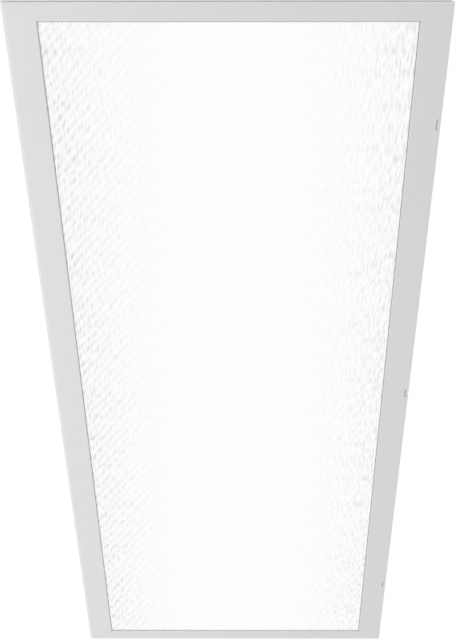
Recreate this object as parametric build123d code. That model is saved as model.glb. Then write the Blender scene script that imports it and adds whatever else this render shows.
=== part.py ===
"""Recessed troffer light: a folded steel housing with a hinged, mitred lens door.

Millimetres, +Z up. The ceiling's underside is the plane z = 0 and the ring-shaped ceiling rim bears
up against it, so the origin is the centre of that seat. X runs across the light, Y along it, and the
door opens downwards about the curled eyes of its +X rail. Near is -Y and far is +Y.
"""

from build123d import *
import os

os.makedirs("parts", exist_ok=True)

# ---------------------------------------------------------------- driving dimensions
# door frame: four rails folded from one profile and mitred at the corners
door_width = 302.0
door_length = 1216.0
door_face = 22.0  # flat face of a rail, seen from below
door_sheet = 0.5
edge_radius = 1.5  # rolled outer edge, and the hinge eyes, which have the same radius
edge_straight = 0.2  # upright part of the outer edge above its roll
ledge_height = 1.2  # hemmed inner edge that the lens rests on
hem_flat = 0.1  # straight part of the hem between its two bends
web_setback = 16.0  # outer edge of the door to the outer face of its upright web
web_height = 17.0  # from the face of the door to the top of the web
web_bend = 0.6  # inside radius where the web stands up
mitre_gap = 0.1
seat_gap = 0.1  # between sheets that lie one against the other

# ceiling rim: a hemmed flange with an upright leg, welded to one ring
rim_reveal = 1.0  # how far the rim stands out past the door
rim_sheet = 1.0  # the flange is hemmed, so it is twice this thick
rim_leg = 0.8
rim_leg_height = 14.0
rim_edge = 0.6
shadow_gap = 0.4  # between the rim and the top of the door's rolled edge

# housing: one folded sheet, closed by a flanged plate at each end
housing_sheet = 0.8
housing_height = 85.0
housing_bend = 1.6
wall_gap = 4.2  # door web to housing wall, room for the latch noses
shoulder_height = 52.0
top_half_width = 108.0
end_flange = 12.0
bead_count = 4
bead_length = 150.0
bead_width = 14.0
bead_height = 1.6
bead_slope = 45.0
hanger_hole_radius = 3.25
hanger_inset_x = 50.0  # hanger hole to the side wall
hanger_inset_y = 47.0  # hanger hole to the end wall

# splice opening in the top of the housing, and the plate that covers it
splice_width = 62.0
splice_length = 84.0
splice_y = 120.0
plate_margin = 12.0
plate_thickness = 1.2
conduit_radius = 11.1  # half of a 22.2 mm (7/8 in) conduit entry
knockout_groove = 0.4
knockout_line = 0.9
conduit_offset = 20.0
end_knockout_height = 66.0

# wireway cover, LED boards and driver
cover_sheet = 0.8
cover_flange = 11.0
cover_shoulder = 36.0
cover_bottom = 27.0
cover_drop = 36.0
cover_bend = 1.2
cover_gap = 0.4  # cover to the flange of each end plate
board_width = 38.0
board_thickness = 1.6
board_gap = 6.0  # between two boards in a row
board_margin = 15.2  # board to the flange of an end plate
board_clearance = 8.0  # wireway cover to board
emitter_size = 3.0
emitter_height = 0.7
emitter_pitch = 25.0
connector_length = 12.0
connector_width = 7.0
connector_height = 4.5
ribbon_width = 3.0  # flat two-wire lead
ribbon_thickness = 1.4
ribbon_clearance = 0.4
feed_inset = 10.0  # end of the driver to the leads that feed the boards
driver_width = 30.0
driver_height = 22.0
driver_length = 300.0
driver_chamfer = 2.0
driver_ear = 14.0
driver_ear_thickness = 1.2
driver_slot_width = 4.2
driver_slot_length = 8.0
driver_y = -230.0
terminal_width = 26.0
terminal_length = 22.0
terminal_height = 15.0
terminal_pole = 8.0
terminal_gap = 62.0  # driver case to terminal block
terminal_groove = 1.5
terminal_groove_depth = 4.0
lead_radius = 1.2
lead_sides = 8
ground_gap = 13.2  # terminal block to earthing screw
ground_screw_radius = 4.0
ground_screw_height = 3.2

# lens
lens_thickness = 3.0
lens_play = 0.8

# hinges on the +X side
hinge_margin = 158.0  # end of the door to the middle of its outer hinges
eye_length = 12.0
knuckle_length = 14.0
hinge_gap = 0.3  # round the knuckles, and between door edge and rim
pin_radius = 0.8
pin_clearance = 0.05
leaf_thickness = 1.0
leaf_length = 40.0

# spring latches on the -X side
latch_margin = 208.0  # end of the door to the middle of a latch
bolt_width = 10.0
bolt_height = 6.0
bolt_body = 6.0  # length that stays inside the case
bolt_tip = 1.0  # height of the blunt tip of the nose
nose_gap = 0.3  # nose to housing wall
latch_travel = 3.0
latch_clearance = 0.3
latch_lift = 1.6  # lens to latch case
case_sheet = 0.8
case_ear = 6.0
stem_radius = 1.0
spring_wire = 0.35  # half of the wire's thickness
spring_turns = 6
spring_pitch = 0.65
spring_sides = 8
spring_slope = 30.0
keeper_length = 24.0
keeper_sheet = 0.8
keeper_lip = 1.6  # thickness of the lip, which has a round edge
keeper_reach = 2.2  # lip from the housing wall towards the door

# lens clips and corner brackets of the door
clip_sheet = 0.5
clip_bend = 0.75
clip_width = 15.0
clip_reach = 9.0
clip_height = 9.0
clip_share = 0.6  # of the way from the middle hinge to an outer one
clip_gap = 0.3
bracket_leg = 26.0
bracket_sheet = 1.2
bracket_bend = 1.5
bracket_height = 9.0
bracket_lift = 0.8

# slide-out hanger bars on the end plates
board_allowance = 15.0  # thickest ceiling board under the bars
bar_height = 16.0
bar_thickness = 1.5
bar_middle_gap = 19.2  # between the inner ends of two bars
bar_chamfer = 3.0
bar_inset = 1.2  # bar end to the outer face of the rim's leg
bar_travel = 34.0
bar_clearance = 0.3
bar_slot = 4.6
guide_sheet = 0.8
guide_lip = 3.0
guide_inset = 3.0
lock_shank = 2.0
lock_shank_sides = 12
lock_head = 4.0
lock_head_height = 2.4

over = 1.0  # how far a cut runs past the material

# ---------------------------------------------------------------- derived places
half_w = door_width / 2
half_l = door_length / 2
rim_thickness = 2 * rim_sheet
edge_height = edge_radius + edge_straight
door_bottom = -(rim_thickness + shadow_gap + edge_height)
ledge_top = door_bottom + ledge_height
lens_top = ledge_top + lens_thickness
web_out_x = half_w - web_setback
web_out_y = half_l - web_setback
web_in_x = web_out_x - door_sheet
web_in_y = web_out_y - door_sheet

wall_in_x = web_out_x + wall_gap
wall_out_x = wall_in_x + housing_sheet
wall_in_y = web_out_y + wall_gap
wall_out_y = wall_in_y + housing_sheet
leg_out_x = wall_out_x + rim_leg
leg_out_y = wall_out_y + rim_leg
top_in = housing_height - housing_sheet
hanger_x = wall_out_x - hanger_inset_x
hanger_y = wall_out_y - hanger_inset_y

cover_half = wall_in_y - end_flange - cover_gap
board_offset = cover_shoulder + cover_flange + board_clearance + board_width / 2
board_length = wall_in_y - end_flange - board_margin - board_gap / 2
connector_x = board_offset - board_width / 2 + connector_width
jumper_y = board_gap / 2 + connector_length
feed_y = driver_y + driver_length / 2 - feed_inset
ribbon_z = top_in - board_thickness - connector_height / 2

axis_x = half_w - edge_radius
axis_z = door_bottom + edge_radius
hinge_spacing = half_l - hinge_margin
hinge_ys = [-hinge_spacing, 0.0, hinge_spacing]
hinge_span = knuckle_length + 2 * hinge_gap + 2 * eye_length

latch_z = lens_top + latch_lift + case_sheet + latch_clearance + bolt_height / 2
latch_ys = {"near": -(half_l - latch_margin), "far": half_l - latch_margin}
nose_x = wall_in_x - nose_gap
spring_length = (spring_turns - 1) * spring_pitch + 2 * spring_wire
case_depth = bolt_body + latch_travel + latch_clearance + spring_length
case_back = web_in_x - case_depth

ends = {"near": -1, "far": 1}
sides = {"left": -1, "right": 1}


# ---------------------------------------------------------------- helpers
def skin(points, offset, bends):
    """One skin of a folded sheet: the middle line moved sideways, each bend rounded about its own centre."""
    corners = [Vector(*p) for p in points]
    runs = [(b - a).normalized() for a, b in zip(corners, corners[1:])]
    normals = [Vector(-d.Y, d.X) for d in runs]
    moved = [corners[0] + normals[0] * offset]
    radii = []
    for i in range(1, len(corners) - 1):
        before, after = normals[i - 1], normals[i]
        moved.append(corners[i] + (before + after) * (offset / (1 + before.dot(after))))
        turn = runs[i - 1].X * runs[i].Y - runs[i - 1].Y * runs[i].X
        radii.append(bends[i - 1] - offset if turn > 0 else bends[i - 1] + offset)
    moved.append(corners[-1] + normals[-1] * offset)
    return FilletPolyline(*moved, radius=radii)


def sheet_section(points, sheet, bends):
    """Closed section of a sheet folded along the middle line through the points."""
    left = skin(points, sheet / 2, bends)
    right = skin(points, -sheet / 2, bends)
    caps = [Line(left @ 0, right @ 0), Line(left @ 1, right @ 1)]
    return make_face(left.edges() + right.edges() + [e for cap in caps for e in cap.edges()])


def along_y(section, length, y=0.0):
    """A section drawn in X and Z, carried along Y and centred on y."""
    return Pos(0, y, 0) * extrude(Plane.XZ * section, amount=length / 2, both=True)


def along_x(section, length, x=0.0):
    """A section drawn in Y and Z, carried along X and centred on x."""
    return Pos(x, 0, 0) * extrude(Plane.YZ * section, amount=length / 2, both=True)


def block(x0, x1, y0, y1, z0, z1):
    """A box between two corners."""
    return Pos((x0 + x1) / 2, (y0 + y1) / 2, (z0 + z1) / 2) * Box(
        abs(x1 - x0), abs(y1 - y0), abs(z1 - z0)
    )


def rod_x(radius, x0, x1, y, z):
    """A round bar along X."""
    return Pos((x0 + x1) / 2, y, z) * Rot(0, 90, 0) * Cylinder(radius, abs(x1 - x0))


def rod_y(radius, y0, y1, x, z):
    """A round bar along Y."""
    return Pos(x, (y0 + y1) / 2, z) * Rot(90, 0, 0) * Cylinder(radius, abs(y1 - y0))


def rod_z(radius, z0, z1, x, y):
    """A round bar along Z."""
    return Pos(x, y, (z0 + z1) / 2) * Cylinder(radius, abs(z1 - z0))


def prism_y(radius, side_count, y0, y1, x, z):
    """A bar of regular many-sided section along Y."""
    face = Plane.XZ * RegularPolygon(radius, side_count)
    return Pos(x, (y0 + y1) / 2, z) * extrude(face, amount=abs(y1 - y0) / 2, both=True)


def save(node, *shapes):
    """Writes one node: a single solid, or identical pieces as separate solids."""
    solids = [solid for shape in shapes for solid in shape.solids()]
    body = solids[0] if len(solids) == 1 else Compound(children=solids)
    export_step(body, f"parts/{node}.step")


# ---------------------------------------------------------------- door frame
def rail_points(half, side):
    """Middle line of the rail profile from the rolled edge to the top of the web, as (across, up)."""
    mid = door_sheet / 2
    inner = door_face - mid
    line = [
        (mid, edge_height),
        (mid, mid),
        (inner, mid),
        (inner, ledge_height - mid),
        (web_setback + mid, ledge_height - mid),
        (web_setback + mid, web_height),
    ]
    return [(side * (half - u), door_bottom + v) for u, v in line]


hem_bend = (ledge_height - door_sheet - hem_flat) / 2
rail_bends = [edge_radius - door_sheet / 2, hem_bend, hem_bend, web_bend + door_sheet / 2]


def mitre_prism(half_across, half_along, side, lengthwise):
    """The ground between two 45 degree mitres, which trims a rail to its place in the frame."""
    deep = door_face + over
    trim = mitre_gap / 2 * 2**0.5
    outline = [
        (side * (half_across + over), half_along + over - trim),
        (side * (half_across + over), -(half_along + over - trim)),
        (side * (half_across - deep), -(half_along - deep - trim)),
        (side * (half_across - deep), half_along - deep - trim),
    ]
    if not lengthwise:
        outline = [(y, x) for x, y in outline]
    face = make_face(Polyline(*outline, close=True))
    return Pos(0, 0, door_bottom - over) * extrude(face, amount=web_height + 2 * over)


def long_rail(side):
    """A rail along one long side, mitred at both ends."""
    section = sheet_section(rail_points(half_w, side), door_sheet, rail_bends)
    bar = along_y(section, door_length)
    return bar & mitre_prism(half_w, half_l, side, lengthwise=True)


def short_rail(end):
    """A rail across one end, mitred at both ends."""
    section = sheet_section(rail_points(half_l, end), door_sheet, rail_bends)
    bar = along_x(section, door_width)
    return bar & mitre_prism(half_l, half_w, end, lengthwise=False)


def hinge_rail():
    """The +X rail: its rolled edge is curled into eyes, with a notch for each fixed knuckle."""
    rail = long_rail(1)
    reach = edge_radius + hinge_gap
    for y in hinge_ys:
        notch = knuckle_length / 2 + hinge_gap
        rail -= block(axis_x - reach, half_w + over, y - notch, y + notch, door_bottom - over, 0)
        for way in (-1, 1):
            start = y + way * notch
            rail += rod_y(edge_radius, start, start + way * eye_length, axis_x, axis_z)
        bore = hinge_span / 2 + over
        rail -= rod_y(pin_radius + pin_clearance, y - bore, y + bore, axis_x, axis_z)
    return rail


def latch_rail():
    """The -X rail: a window in its web for each latch nose."""
    rail = long_rail(-1)
    wide = bolt_width / 2 + latch_clearance
    high = bolt_height / 2 + latch_clearance
    for y in latch_ys.values():
        rail -= block(
            -web_out_x - over, -web_in_x + over, y - wide, y + wide, latch_z - high, latch_z + high
        )
    return rail


def corner_bracket(side, end):
    """An angle inside the corner of the webs, which joins two rails."""
    out_x = web_in_x - seat_gap - bracket_sheet / 2
    out_y = web_in_y - seat_gap - bracket_sheet / 2
    path = [
        (side * (out_x - bracket_leg), end * out_y),
        (side * out_x, end * out_y),
        (side * out_x, end * (out_y - bracket_leg)),
    ]
    section = sheet_section(path, bracket_sheet, [bracket_bend])
    return Pos(0, 0, lens_top + bracket_lift) * extrude(section, amount=bracket_height)


def clip_section(inner, side):
    """A spring clip: an upright leg on the web and a tongue over the edge of the lens."""
    mid = clip_sheet / 2
    leg = inner - seat_gap - mid
    foot = lens_top + clip_gap + mid
    line = [(leg, foot + clip_height), (leg, foot), (inner - clip_reach, foot)]
    return sheet_section([(side * u, v) for u, v in line], clip_sheet, [clip_bend])


def lens_clips():
    """Clips along both long sides and one at each end."""
    clips = []
    for side in (-1, 1):
        for y in (clip_share * hinge_y for hinge_y in hinge_ys):
            clips.append(along_y(clip_section(web_in_x, side), clip_width, y))
        clips.append(along_x(clip_section(web_in_y, side), clip_width))
    return clips


def lens():
    """The flat lens panel, resting on the hemmed ledge of the frame."""
    return block(
        -web_in_x + lens_play,
        web_in_x - lens_play,
        -web_in_y + lens_play,
        web_in_y - lens_play,
        ledge_top,
        lens_top,
    )


save("door_rail_hinge_side", hinge_rail())
save("door_rail_latch_side", latch_rail())
for end_name, end in ends.items():
    save(f"door_rail_{end_name}", short_rail(end))
    for side_name, side in sides.items():
        save(f"corner_bracket_{end_name}_{side_name}", corner_bracket(side, end))
save("lens_clips", *lens_clips())
save("lens", lens())


# ---------------------------------------------------------------- hinges
def hinge_leaf(y):
    """The fixed knuckle: a leaf under the rim that ends in a barrel between two eyes of the door."""
    top = -rim_thickness
    bottom = top - leaf_thickness
    clear = axis_x - edge_radius - hinge_gap
    neck = knuckle_length / 2
    leaf = block(leg_out_x, clear, y - leaf_length / 2, y + leaf_length / 2, bottom, top)
    leaf += block(clear - over, axis_x, y - neck, y + neck, bottom, top)
    leaf += rod_y(edge_radius, y - neck, y + neck, axis_x, axis_z)
    bore = neck + over
    return leaf - rod_y(pin_radius + pin_clearance, y - bore, y + bore, axis_x, axis_z)


def hinge_pin(y):
    """The pin through two eyes and one knuckle."""
    return rod_y(pin_radius, y - hinge_span / 2, y + hinge_span / 2, axis_x, axis_z)


for number, y in enumerate(hinge_ys, start=1):
    save(f"hinge_leaf_{number}", hinge_leaf(y))
    save(f"hinge_pin_{number}", hinge_pin(y))


# ---------------------------------------------------------------- latches
def latch_bolt(y):
    """A sliding bolt with a nose bevelled above and below, and a stem that guides its spring."""
    bevel = (bolt_height - bolt_tip) / 2
    half = bolt_height / 2
    outline = [
        (-(web_in_x - bolt_body), latch_z - half),
        (-(nose_x - bevel), latch_z - half),
        (-nose_x, latch_z - bolt_tip / 2),
        (-nose_x, latch_z + bolt_tip / 2),
        (-(nose_x - bevel), latch_z + half),
        (-(web_in_x - bolt_body), latch_z + half),
    ]
    bolt = along_y(make_face(Polyline(*outline, close=True)), bolt_width, y)
    stem_start = web_in_x - bolt_body + over
    stem_end = case_back - case_sheet - stem_radius
    return bolt + rod_x(stem_radius, -stem_start, -stem_end, y, latch_z)


def latch_case(y):
    """The sheet case that guides the bolt, with an ear on each side against the web of the rail."""
    wide = bolt_width / 2 + latch_clearance
    high = bolt_height / 2 + latch_clearance
    back = -(case_back - case_sheet)
    front = -web_in_x
    bottom, top = latch_z - high - case_sheet, latch_z + high + case_sheet
    case = block(front, back, y - wide - case_sheet, y + wide + case_sheet, bottom, top)
    ear = wide + case_sheet + case_ear
    case += block(front, front + case_sheet, y - ear, y + ear, bottom, top)
    case -= block(front - over, -case_back, y - wide, y + wide, latch_z - high, latch_z + high)
    return case - rod_x(stem_radius + latch_clearance, -case_back - over, back + over, y, latch_z)


def latch_spring(y):
    """The coil spring, drawn at its closed length against the back of the case, turn by turn."""
    inner = stem_radius + latch_clearance + spring_wire
    outer = RegularPolygon(inner + 2 * spring_wire, spring_sides)
    ridge = extrude(outer, amount=spring_wire, taper=spring_slope)
    ridge += mirror(ridge, about=Plane.XY)
    coil = Part()
    for turn in range(spring_turns):
        coil += Pos(0, 0, spring_wire + turn * spring_pitch) * ridge
    coil -= extrude(RegularPolygon(inner, spring_sides), amount=spring_length)
    return Pos(-(case_back + spring_length), y, latch_z) * Rot(0, 90, 0) * coil


def latch_keeper(y):
    """The strike on the housing wall, with a round-edged lip that the nose rides over."""
    centre_z = latch_z - bolt_height / 2
    tip_x = wall_in_x - keeper_reach + keeper_lip / 2
    start, stop = y - keeper_length / 2, y + keeper_length / 2
    low, high = centre_z - keeper_lip / 2, centre_z + keeper_lip / 2
    lip = block(-wall_in_x, -tip_x, start, stop, low, high)
    lip += rod_y(keeper_lip / 2, start, stop, -tip_x, centre_z)
    return lip + block(-wall_in_x, -wall_in_x + keeper_sheet, start, stop, -rim_thickness, centre_z)


for end_name, y in latch_ys.items():
    save(f"latch_bolt_{end_name}", latch_bolt(y))
    save(f"latch_case_{end_name}", latch_case(y))
    save(f"latch_spring_{end_name}", latch_spring(y))
    save(f"latch_keeper_{end_name}", latch_keeper(y))


# ---------------------------------------------------------------- ceiling rim
def ceiling_rim():
    """The hemmed flange that bears on the ceiling and the leg that holds the housing."""
    out_x = half_w + rim_reveal
    out_y = half_l + rim_reveal
    flange = block(-out_x, out_x, -out_y, out_y, -rim_thickness, 0)
    flange = fillet(flange.edges().filter_by(Axis.Z, reverse=True), rim_edge)
    setback = axis_x - hinge_gap
    low = -rim_thickness - over
    flange -= block(setback, out_x + over, -out_y - over, out_y + over, low, over)
    leg = block(-leg_out_x, leg_out_x, -leg_out_y, leg_out_y, -rim_thickness / 2, rim_leg_height)
    high = rim_leg_height + over
    opening = block(-wall_out_x, wall_out_x, -wall_out_y, wall_out_y, low, high)
    rim = flange + leg - opening
    barrel_edge = axis_x - edge_radius - hinge_gap
    for y in hinge_ys:
        reach = hinge_span / 2 + hinge_gap
        rim -= block(barrel_edge, out_x + over, y - reach, y + reach, low, over)
    return rim


save("ceiling_rim", ceiling_rim())


# ---------------------------------------------------------------- housing
def shell_line(inset):
    """The housing's outline from one bottom edge over the top to the other, moved inwards by inset."""
    slope = (housing_height - shoulder_height) / (wall_out_x - top_half_width)
    wall = wall_out_x - inset
    top = housing_height - inset
    peak = shoulder_height + slope * wall_out_x - inset * (1 + slope**2) ** 0.5
    knee = peak - slope * wall
    corner = (peak - top) / slope
    return [
        (-wall, -rim_thickness),
        (-wall, knee),
        (-corner, top),
        (corner, top),
        (wall, knee),
        (wall, -rim_thickness),
    ]


def bead(trim):
    """A pressed bead that runs across the light, with sloping sides, its base smaller by trim."""
    base = SlotOverall(bead_length - 2 * trim, bead_width - 2 * trim)
    return extrude(base, amount=bead_height, taper=bead_slope)


def housing_shell():
    """One folded sheet with cross beads pressed into its top, hanger holes and the splice opening."""
    section = sheet_section(shell_line(housing_sheet / 2), housing_sheet, [housing_bend] * 4)
    shell = along_y(section, 2 * wall_out_y)
    spacing = 2 * hanger_y / (bead_count + 1)
    for i in range(bead_count):
        y = (i - (bead_count - 1) / 2) * spacing
        if abs(y - splice_y) < splice_length / 2 + plate_margin + bead_width:
            continue
        shell += Pos(0, y, housing_height) * bead(0)
        shell -= Pos(0, y, top_in) * bead(housing_sheet / 2)
    for x in (-hanger_x, hanger_x):
        for y in (-hanger_y, hanger_y):
            shell -= rod_z(hanger_hole_radius, top_in - over, housing_height + over, x, y)
    splice = Box(splice_width, splice_length, 4 * housing_sheet)
    splice = fillet(splice.edges().filter_by(Axis.Z), plate_margin / 2)
    return shell - Pos(0, splice_y, housing_height) * splice


def end_plate(end):
    """A pressed pan that closes one end: its flange lies inside the shell."""
    outer = make_face(Polyline(*shell_line(housing_sheet + seat_gap), close=True))
    outer = fillet(outer.vertices().filter_by(lambda v: v.Y > 0), housing_bend)
    inner_line = shell_line(2 * housing_sheet + seat_gap)
    below = -rim_thickness - over
    inner_line[0] = (inner_line[0][0], below)
    inner_line[-1] = (inner_line[-1][0], below)
    inner = make_face(Polyline(*inner_line, close=True))
    depth = housing_sheet + end_flange
    pan = along_y(outer, depth, end * (wall_out_y - depth / 2))
    pan -= along_y(inner, end_flange, end * (wall_in_y - end_flange / 2))
    floor = end * (wall_out_y - knockout_groove)
    past = end * (wall_out_y + over)
    ring = rod_y(conduit_radius, floor, past, 0, end_knockout_height)
    ring -= rod_y(conduit_radius - knockout_line, floor, past, 0, end_knockout_height)
    return pan - ring


def access_plate():
    """The cover over the splice opening, with an open conduit entry and a second one still closed."""
    width = splice_width + 2 * plate_margin
    length = splice_length + 2 * plate_margin
    plate = Box(width, length, plate_thickness)
    plate = chamfer(plate.edges().filter_by(Axis.Z), plate_margin / 2)
    plate = Pos(0, splice_y, housing_height + plate_thickness / 2) * plate
    top = housing_height + plate_thickness
    open_y, closed_y = splice_y - conduit_offset, splice_y + conduit_offset
    plate -= rod_z(conduit_radius, housing_height - over, top + over, 0, open_y)
    ring = rod_z(conduit_radius, top - knockout_groove, top + over, 0, closed_y)
    ring -= rod_z(
        conduit_radius - knockout_line, top - knockout_groove, top + over, 0, closed_y
    )
    return plate - ring


save("housing_shell", housing_shell())
for end_name, end in ends.items():
    save(f"end_plate_{end_name}", end_plate(end))
save("access_plate", access_plate())


# ---------------------------------------------------------------- wireway, boards and driver
def wireway_cover():
    """A hat channel along the top of the housing, closed at both ends, over the driver and splices."""
    mid = cover_sheet / 2
    line = [
        (-(cover_shoulder + cover_flange), top_in - mid),
        (-cover_shoulder, top_in - mid),
        (-cover_bottom, top_in - cover_drop + mid),
        (cover_bottom, top_in - cover_drop + mid),
        (cover_shoulder, top_in - mid),
        (cover_shoulder + cover_flange, top_in - mid),
    ]
    channel = along_y(sheet_section(line, cover_sheet, [cover_bend] * 4), 2 * cover_half)
    cap_line = [(x, z + mid if z > top_in - cover_drop / 2 else z) for x, z in line[1:5]]
    cap = make_face(Polyline(*cap_line, close=True))
    for way in (-1, 1):
        channel += along_y(cap, cover_sheet, way * (cover_half - cover_sheet / 2))
    wide = ribbon_width / 2 + ribbon_clearance
    high = ribbon_thickness / 2 + ribbon_clearance
    reach = cover_shoulder + over
    slots = block(-reach, reach, feed_y - wide, feed_y + wide, ribbon_z - high, ribbon_z + high)
    return channel - slots


def board_places():
    """Name, middle x and middle y of each LED board."""
    for side_name, side in sides.items():
        for end_name, end in ends.items():
            y = end * (board_length + board_gap) / 2
            yield f"{side_name}_{end_name}", side * board_offset, y


def led_board(x, y):
    """A metal-core board screwed flat to the top of the housing."""
    return block(
        x - board_width / 2,
        x + board_width / 2,
        y - board_length / 2,
        y + board_length / 2,
        top_in - board_thickness,
        top_in,
    )


def led_emitters():
    """The row of LED packages down the middle of each board."""
    count = int(board_length / emitter_pitch)
    bottom = top_in - board_thickness - emitter_height / 2
    emitters = []
    for _, x, y in board_places():
        for i in range(count):
            along = y + (i - (count - 1) / 2) * emitter_pitch
            emitters.append(Pos(x, along, bottom) * Box(emitter_size, emitter_size, emitter_height))
    return emitters


def board_connectors():
    """Plug-in connectors: one at each meeting end of two boards, and one beside the driver."""
    plug = Box(connector_width, connector_length, connector_height)
    places = [(x * connector_x, y) for x in sides.values() for y in (feed_y, -jumper_y, jumper_y)]
    return [Pos(x, y, ribbon_z) * plug for x, y in places]


def board_leads():
    """Flat leads: each feeds a board from the side of the driver or joins it to the next board."""
    low, high = ribbon_z - ribbon_thickness / 2, ribbon_z + ribbon_thickness / 2
    half = ribbon_width / 2
    plug_face = connector_x - connector_width / 2
    plug_end = jumper_y - connector_length / 2
    leads = []
    for side in sides.values():
        start, stop = side * driver_width / 2, side * plug_face
        leads.append(block(start, stop, feed_y - half, feed_y + half, low, high))
        x = side * connector_x
        leads.append(block(x - half, x + half, -plug_end, plug_end, low, high))
    return leads


def led_driver():
    """The driver's case with a mounting ear at each end."""
    case = block(
        -driver_width / 2,
        driver_width / 2,
        driver_y - driver_length / 2,
        driver_y + driver_length / 2,
        top_in - driver_height,
        top_in,
    )
    case = chamfer(case.faces().sort_by(Axis.Z)[0].edges(), driver_chamfer)
    ear = driver_length / 2 + driver_ear
    case += block(
        -driver_width / 2,
        driver_width / 2,
        driver_y - ear,
        driver_y + ear,
        top_in - driver_ear_thickness,
        top_in,
    )
    for way in (-1, 1):
        slot = Box(driver_slot_width, 2 * driver_slot_length, 4 * driver_ear_thickness)
        case -= Pos(0, driver_y + way * ear, top_in) * slot
    return case


terminal_y = driver_y + driver_length / 2 + terminal_gap
terminal_xs = [-terminal_pole, 0.0, terminal_pole]
lead_z = top_in - terminal_height / 2


def terminal_block():
    """A three-pole block by the splice opening, with a groove between the poles."""
    low = top_in - terminal_height
    start, stop = terminal_y, terminal_y + terminal_length
    body = block(-terminal_width / 2, terminal_width / 2, start, stop, low, top_in)
    for x in (-terminal_pole / 2, terminal_pole / 2):
        left, right = x - terminal_groove / 2, x + terminal_groove / 2
        floor = low + terminal_groove_depth
        body -= block(left, right, start - over, stop + over, low - over, floor)
    return body


def driver_leads():
    """The leads from the driver to the terminal block, one to each pole."""
    start = driver_y + driver_length / 2
    return [prism_y(lead_radius, lead_sides, start, terminal_y, x, lead_z) for x in terminal_xs]


def ground_screw():
    """A hexagon-head earthing screw in the top of the wireway."""
    y = terminal_y + terminal_length + ground_gap
    head = extrude(RegularPolygon(ground_screw_radius, 6), amount=ground_screw_height)
    return Pos(terminal_pole, y, top_in - ground_screw_height) * head


save("wireway_cover", wireway_cover())
for board_name, x, y in board_places():
    save(f"led_board_{board_name}", led_board(x, y))
save("led_emitters", *led_emitters())
save("board_connectors", *board_connectors())
save("board_leads", *board_leads())
save("led_driver", led_driver())
save("terminal_block", terminal_block())
save("driver_leads", *driver_leads())
save("ground_screw", ground_screw())


# ---------------------------------------------------------------- slide-out hanger bars
bar_bottom = board_allowance + bar_clearance + guide_sheet
bar_mid_z = bar_bottom + bar_height / 2
bar_in_y = wall_out_y + guide_sheet + bar_clearance
bar_out_y = bar_in_y + bar_thickness
bar_end_x = leg_out_x - bar_inset
bar_length = bar_end_x - bar_middle_gap / 2
lock_x = bar_end_x - bar_length / 2 + bar_travel / 2


def bar_guide(end):
    """A lipped channel on the end plate that two bars slide in."""
    mid = guide_sheet / 2
    low = bar_bottom - bar_clearance - mid
    high = bar_bottom + bar_height + bar_clearance + mid
    back = wall_out_y + mid
    front = bar_out_y + bar_clearance + mid
    line = [
        (front, low + guide_lip),
        (front, low),
        (back, low),
        (back, high),
        (front, high),
        (front, high - guide_lip),
    ]
    section = sheet_section([(end * y, z) for y, z in line], guide_sheet, [guide_sheet] * 4)
    return along_x(section, 2 * (wall_out_x - guide_inset))


def hanger_bar(side, end):
    """A flat bar that slides out over the ceiling board, with a slot for its lock screw."""
    outline = chamfer(Rectangle(bar_length, bar_height).vertices(), bar_chamfer)
    slot_mid = lock_x - bar_travel / 2 - (bar_end_x - bar_length / 2)
    outline -= Pos(slot_mid, 0) * SlotOverall(bar_travel + bar_slot, bar_slot)
    bar = Rot(90, 0, 0) * extrude(outline, amount=bar_thickness)
    if side < 0:
        bar = mirror(bar, about=Plane.YZ)
    y = bar_out_y if end > 0 else -bar_in_y
    return Pos(side * (bar_end_x - bar_length / 2), y, bar_mid_z) * bar


def lock_screws():
    """The screw that locks each bar in its guide."""
    screws = []
    for end in ends.values():
        for side in sides.values():
            seat = end * (wall_out_y + guide_sheet)
            under = end * (bar_out_y + bar_clearance)
            top = under + end * lock_head_height
            screw = prism_y(lock_shank, lock_shank_sides, seat, under, side * lock_x, bar_mid_z)
            screws.append(screw + prism_y(lock_head, 6, under, top, side * lock_x, bar_mid_z))
    return screws


for end_name, end in ends.items():
    save(f"bar_guide_{end_name}", bar_guide(end))
    for side_name, side in sides.items():
        save(f"hanger_bar_{end_name}_{side_name}", hanger_bar(side, end))
save("bar_lock_screws", *lock_screws())
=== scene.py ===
# %% [markdown]
# # A recessed ceiling light, seen from the floor below
#
# The real object is a long shallow steel box that sits above a ceiling. All that a person in the
# room sees is a flat mitred frame round a glowing prismatic panel. The steel parts come from the
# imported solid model, which is loaded here as a fixed frame, and this script gives every one of
# them its finish and adds what sheet metal work leaves behind: rivets, screws, weld marks, the
# facets of the lens and the small packages on the LED boards.

# %% Load the solid model
from math import atan2, pi, radians

import bpy
import numpy as np
from mathutils import Matrix, Vector


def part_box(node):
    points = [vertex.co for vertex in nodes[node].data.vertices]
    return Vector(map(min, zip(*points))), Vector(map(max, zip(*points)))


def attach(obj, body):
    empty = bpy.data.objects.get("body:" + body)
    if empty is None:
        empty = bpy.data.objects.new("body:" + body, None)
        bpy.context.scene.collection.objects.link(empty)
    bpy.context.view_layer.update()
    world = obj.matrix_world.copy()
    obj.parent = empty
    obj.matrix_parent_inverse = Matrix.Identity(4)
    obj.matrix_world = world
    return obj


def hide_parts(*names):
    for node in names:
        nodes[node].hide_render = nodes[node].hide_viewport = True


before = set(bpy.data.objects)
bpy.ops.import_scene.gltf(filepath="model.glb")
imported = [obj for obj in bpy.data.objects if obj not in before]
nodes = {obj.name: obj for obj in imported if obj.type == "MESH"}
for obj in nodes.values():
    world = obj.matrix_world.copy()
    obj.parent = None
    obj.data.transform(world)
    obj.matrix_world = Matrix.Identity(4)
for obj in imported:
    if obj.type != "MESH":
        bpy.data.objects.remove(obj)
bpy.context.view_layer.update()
mm = 0.001

# %% [markdown]
# ## The camera
#
# The picture was taken from low in the room with a long lens, looking up and along the light, so
# its near end is larger and stands at the top of the picture. A fit of the frame's eight corners
# gives the place, the tilt and the focal length. The small turn and roll are in the picture too.

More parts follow.
